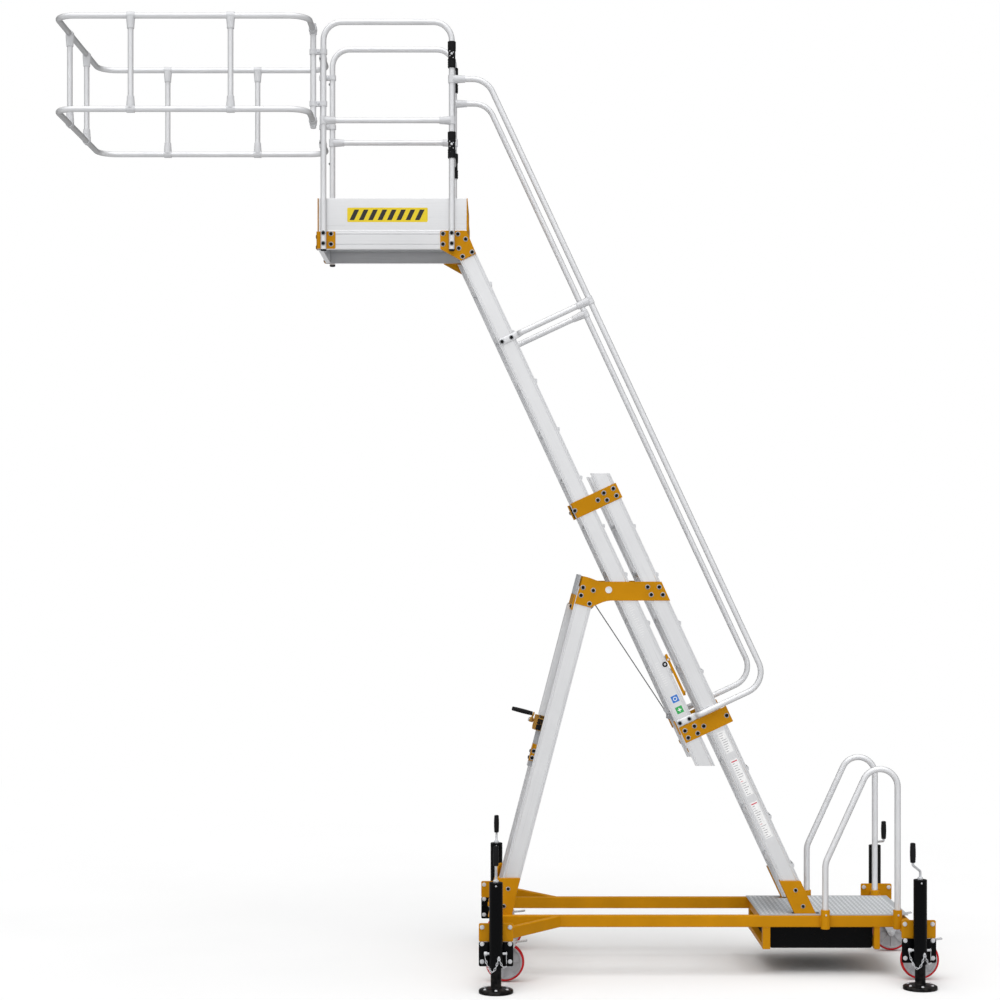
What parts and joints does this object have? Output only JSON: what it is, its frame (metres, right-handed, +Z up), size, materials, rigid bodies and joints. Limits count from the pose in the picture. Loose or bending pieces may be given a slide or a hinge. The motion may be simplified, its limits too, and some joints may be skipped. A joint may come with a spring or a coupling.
{
  "type": "mobile cantilever access platform",
  "caption": "Wheeled two-section ladder tower on screw jacks with a guarded platform, a cantilevered guard cage, a self-closing gate, a hand winch and long handrails.",
  "frame": {"origin": "on the ground, under the middle of the whole machine's bounding box, jacks resting on the floor", "axes": "+Z up, +X towards the rear where a user steps on, +Y to the climbing user's right"},
  "size_m": [4.5464, 1.658, 4.9769],
  "materials": {
    "amber_paint": "satin powder coat",
    "extruded_aluminium": "satin mill finish",
    "tube_aluminium": "brushed tube",
    "checker_plate": "five-bar tread",
    "black_paint": "satin powder coat",
    "wheel_centre": "moulded",
    "black_plastic": "textured",
    "red_tyre": "moulded polyurethane",
    "rope_steel": "stranded wire",
    "zinc_steel": "zinc plated",
    "label_film": "printed film"
  },
  "bodies": {
    "root": {"chassis_frame": "amber_paint", "checker_deck": "checker_plate", "counterweight": "black_paint", "prop_frame": "extruded_aluminium", "a_arm_left": "amber_paint", "a_arm_right": "amber_paint", "lower_ladder": "extruded_aluminium", "upper_guide_left": "amber_paint", "upper_guide_right": "amber_paint", "winch_housing": "zinc_steel", "lift_rope": "rope_steel", "entry_handrail_left": "tube_aluminium", "entry_handrail_right": "tube_aluminium", "jack_body_front_left": "black_paint", "jack_body_front_right": "black_paint", "jack_body_rear_left": "black_paint", "jack_body_rear_right": "black_paint"},
    "ladder_section": {"upper_ladder": "extruded_aluminium", "lower_guide_left": "amber_paint", "lower_guide_right": "amber_paint", "platform_frame": "extruded_aluminium", "platform_deck": "extruded_aluminium", "toe_boards": "extruded_aluminium", "rear_bracket_left": "amber_paint", "rear_bracket_right": "amber_paint", "guardrail_left": "tube_aluminium", "guardrail_right": "tube_aluminium", "handrail_left": "tube_aluminium", "handrail_right": "tube_aluminium", "cage": "tube_aluminium"},
    "gate_left": {"gate_left": "tube_aluminium"},
    "gate_right": {"gate_right": "tube_aluminium"},
    "rung_catch": {"rung_catch": "amber_paint"},
    "winch_drum": {"winch_drum": "zinc_steel"},
    "winch_crank": {"winch_crank": "black_plastic"},
    "rope_pulley": {"rope_pulley": "rope_steel"},
    "castor_fork_front_left": {"castor_fork_front_left": "zinc_steel"},
    "castor_wheel_front_left": {"castor_wheel_front_left": "wheel_centre"},
    "castor_brake_front_left": {"castor_brake_front_left": "zinc_steel"},
    "jack_foot_front_left": {"jack_foot_front_left": "black_paint"},
    "jack_crank_front_left": {"jack_crank_front_left": "zinc_steel"},
    "lock_pin_front_left": {"lock_pin_front_left": "zinc_steel"},
    "castor_fork_front_right": {"castor_fork_front_right": "zinc_steel"},
    "castor_wheel_front_right": {"castor_wheel_front_right": "wheel_centre"},
    "castor_brake_front_right": {"castor_brake_front_right": "zinc_steel"},
    "jack_foot_front_right": {"jack_foot_front_right": "black_paint"},
    "jack_crank_front_right": {"jack_crank_front_right": "zinc_steel"},
    "lock_pin_front_right": {"lock_pin_front_right": "zinc_steel"},
    "castor_fork_rear_left": {"castor_fork_rear_left": "zinc_steel"},
    "castor_wheel_rear_left": {"castor_wheel_rear_left": "wheel_centre"},
    "castor_brake_rear_left": {"castor_brake_rear_left": "zinc_steel"},
    "jack_foot_rear_left": {"jack_foot_rear_left": "black_paint"},
    "jack_crank_rear_left": {"jack_crank_rear_left": "zinc_steel"},
    "lock_pin_rear_left": {"lock_pin_rear_left": "zinc_steel"},
    "castor_fork_rear_right": {"castor_fork_rear_right": "zinc_steel"},
    "castor_wheel_rear_right": {"castor_wheel_rear_right": "wheel_centre"},
    "castor_brake_rear_right": {"castor_brake_rear_right": "zinc_steel"},
    "jack_foot_rear_right": {"jack_foot_rear_right": "black_paint"},
    "jack_crank_rear_right": {"jack_crank_rear_right": "zinc_steel"},
    "lock_pin_rear_right": {"lock_pin_rear_right": "zinc_steel"}
  },
  "joints": [
    {"name": "section_slide", "type": "slide", "parent": "root", "child": "ladder_section", "axis": [-0.4226, 0, 0.9063], "range_m": [-0.56, 0.56], "deforming": ["lift_rope"]},
    {"name": "drum_turn", "type": "hinge", "parent": "root", "child": "winch_drum", "pos_m": [0.20272, 0, 1.29465], "axis": [0, 1, 0], "range_deg": [-1880, 1880]},
    {"name": "winch_crank_turn", "type": "hinge", "parent": "root", "child": "winch_crank", "pos_m": [0.16208, 0.053, 1.30525], "axis": [-0.9676, 0, 0.2525], "range_deg": [-5640, 5640]},
    {"name": "pulley_turn", "type": "hinge", "parent": "root", "child": "rope_pulley", "pos_m": [0.4713, 0, 1.925], "axis": [0, 1, 0], "range_deg": [-1280, 1280]},
    {"name": "catch_swing", "type": "hinge", "parent": "ladder_section", "child": "rung_catch", "pos_m": [0.87421, 0, 1.64143], "axis": [0, 1, 0], "range_deg": [-9, 0]},
    {"name": "gate_left_swing", "type": "hinge", "parent": "ladder_section", "child": "gate_left", "pos_m": [-0.2557, -0.29, 4.32], "axis": [0, 0, 1], "range_deg": [0, 80]},
    {"name": "gate_right_swing", "type": "hinge", "parent": "ladder_section", "child": "gate_right", "pos_m": [-0.2557, 0.29, 4.32], "axis": [0, 0, -1], "range_deg": [0, 80]},
    {"name": "castor_swivel_front_left", "type": "hinge", "parent": "root", "child": "castor_fork_front_left", "pos_m": [-0.0247, -0.45, 0.235], "axis": [0, 0, 1], "continuous": true},
    {"name": "wheel_spin_front_left", "type": "hinge", "parent": "castor_fork_front_left", "child": "castor_wheel_front_left", "pos_m": [0.0203, -0.45, 0.103], "axis": [0, 1, 0], "continuous": true},
    {"name": "brake_press_front_left", "type": "hinge", "parent": "castor_fork_front_left", "child": "castor_brake_front_left", "pos_m": [0.0653, -0.45, 0.2035], "axis": [0, 1, 0], "range_deg": [0, 12]},
    {"name": "jack_turn_front_left", "type": "hinge", "parent": "root", "child": "jack_crank_front_left", "pos_m": [-0.0247, -0.72, 0.5], "axis": [0, 0, 1], "range_deg": [-7200, 4320]},
    {"name": "jack_travel_front_left", "type": "slide", "parent": "root", "child": "jack_foot_front_left", "axis": [0, 0, 1], "range_m": [-0.1001, 0.0601]},
    {"name": "pin_pull_front_left", "type": "slide", "parent": "root", "child": "lock_pin_front_left", "axis": [-1, 0, 0], "range_m": [0, 0.125]},
    {"name": "castor_swivel_front_right", "type": "hinge", "parent": "root", "child": "castor_fork_front_right", "pos_m": [-0.0247, 0.45, 0.235], "axis": [0, 0, 1], "continuous": true},
    {"name": "wheel_spin_front_right", "type": "hinge", "parent": "castor_fork_front_right", "child": "castor_wheel_front_right", "pos_m": [0.0203, 0.45, 0.103], "axis": [0, 1, 0], "continuous": true},
    {"name": "brake_press_front_right", "type": "hinge", "parent": "castor_fork_front_right", "child": "castor_brake_front_right", "pos_m": [0.0653, 0.45, 0.2035], "axis": [0, 1, 0], "range_deg": [0, 12]},
    {"name": "jack_turn_front_right", "type": "hinge", "parent": "root", "child": "jack_crank_front_right", "pos_m": [-0.0247, 0.72, 0.5], "axis": [0, 0, 1], "range_deg": [-7200, 4320]},
    {"name": "jack_travel_front_right", "type": "slide", "parent": "root", "child": "jack_foot_front_right", "axis": [0, 0, 1], "range_m": [-0.1001, 0.0601]},
    {"name": "pin_pull_front_right", "type": "slide", "parent": "root", "child": "lock_pin_front_right", "axis": [-1, 0, 0], "range_m": [0, 0.125]},
    {"name": "castor_swivel_rear_left", "type": "hinge", "parent": "root", "child": "castor_fork_rear_left", "pos_m": [2.1133, -0.392, 0.235], "axis": [0, 0, 1], "continuous": true},
    {"name": "wheel_spin_rear_left", "type": "hinge", "parent": "castor_fork_rear_left", "child": "castor_wheel_rear_left", "pos_m": [2.1583, -0.392, 0.103], "axis": [0, 1, 0], "continuous": true},
    {"name": "brake_press_rear_left", "type": "hinge", "parent": "castor_fork_rear_left", "child": "castor_brake_rear_left", "pos_m": [2.2033, -0.392, 0.2035], "axis": [0, 1, 0], "range_deg": [0, 12]},
    {"name": "jack_turn_rear_left", "type": "hinge", "parent": "root", "child": "jack_crank_rear_left", "pos_m": [2.1133, -0.63, 0.5], "axis": [0, 0, 1], "range_deg": [-7200, 4320]},
    {"name": "jack_travel_rear_left", "type": "slide", "parent": "root", "child": "jack_foot_rear_left", "axis": [0, 0, 1], "range_m": [-0.1001, 0.0601]},
    {"name": "pin_pull_rear_left", "type": "slide", "parent": "root", "child": "lock_pin_rear_left", "axis": [-1, 0, 0], "range_m": [0, 0.125]},
    {"name": "castor_swivel_rear_right", "type": "hinge", "parent": "root", "child": "castor_fork_rear_right", "pos_m": [2.1133, 0.392, 0.235], "axis": [0, 0, 1], "continuous": true},
    {"name": "wheel_spin_rear_right", "type": "hinge", "parent": "castor_fork_rear_right", "child": "castor_wheel_rear_right", "pos_m": [2.1583, 0.392, 0.103], "axis": [0, 1, 0], "continuous": true},
    {"name": "brake_press_rear_right", "type": "hinge", "parent": "castor_fork_rear_right", "child": "castor_brake_rear_right", "pos_m": [2.2033, 0.392, 0.2035], "axis": [0, 1, 0], "range_deg": [0, 12]},
    {"name": "jack_turn_rear_right", "type": "hinge", "parent": "root", "child": "jack_crank_rear_right", "pos_m": [2.1133, 0.63, 0.5], "axis": [0, 0, 1], "range_deg": [-7200, 4320]},
    {"name": "jack_travel_rear_right", "type": "slide", "parent": "root", "child": "jack_foot_rear_right", "axis": [0, 0, 1], "range_m": [-0.1001, 0.0601]},
    {"name": "pin_pull_rear_right", "type": "slide", "parent": "root", "child": "lock_pin_rear_right", "axis": [-1, 0, 0], "range_m": [0, 0.125]}
  ],
  "couplings": [
    {"joint": "drum_turn", "follows": "section_slide", "rad_per_m": 58},
    {"joint": "winch_crank_turn", "follows": "section_slide", "rad_per_m": 174},
    {"joint": "pulley_turn", "follows": "section_slide", "rad_per_m": -39.3},
    {"joint": "jack_travel_front_left", "follows": "jack_turn_front_left", "m_per_rad": 0.00079577},
    {"joint": "jack_travel_front_right", "follows": "jack_turn_front_right", "m_per_rad": 0.00079577},
    {"joint": "jack_travel_rear_left", "follows": "jack_turn_rear_left", "m_per_rad": 0.00079577},
    {"joint": "jack_travel_rear_right", "follows": "jack_turn_rear_right", "m_per_rad": 0.00079577}
  ]
}
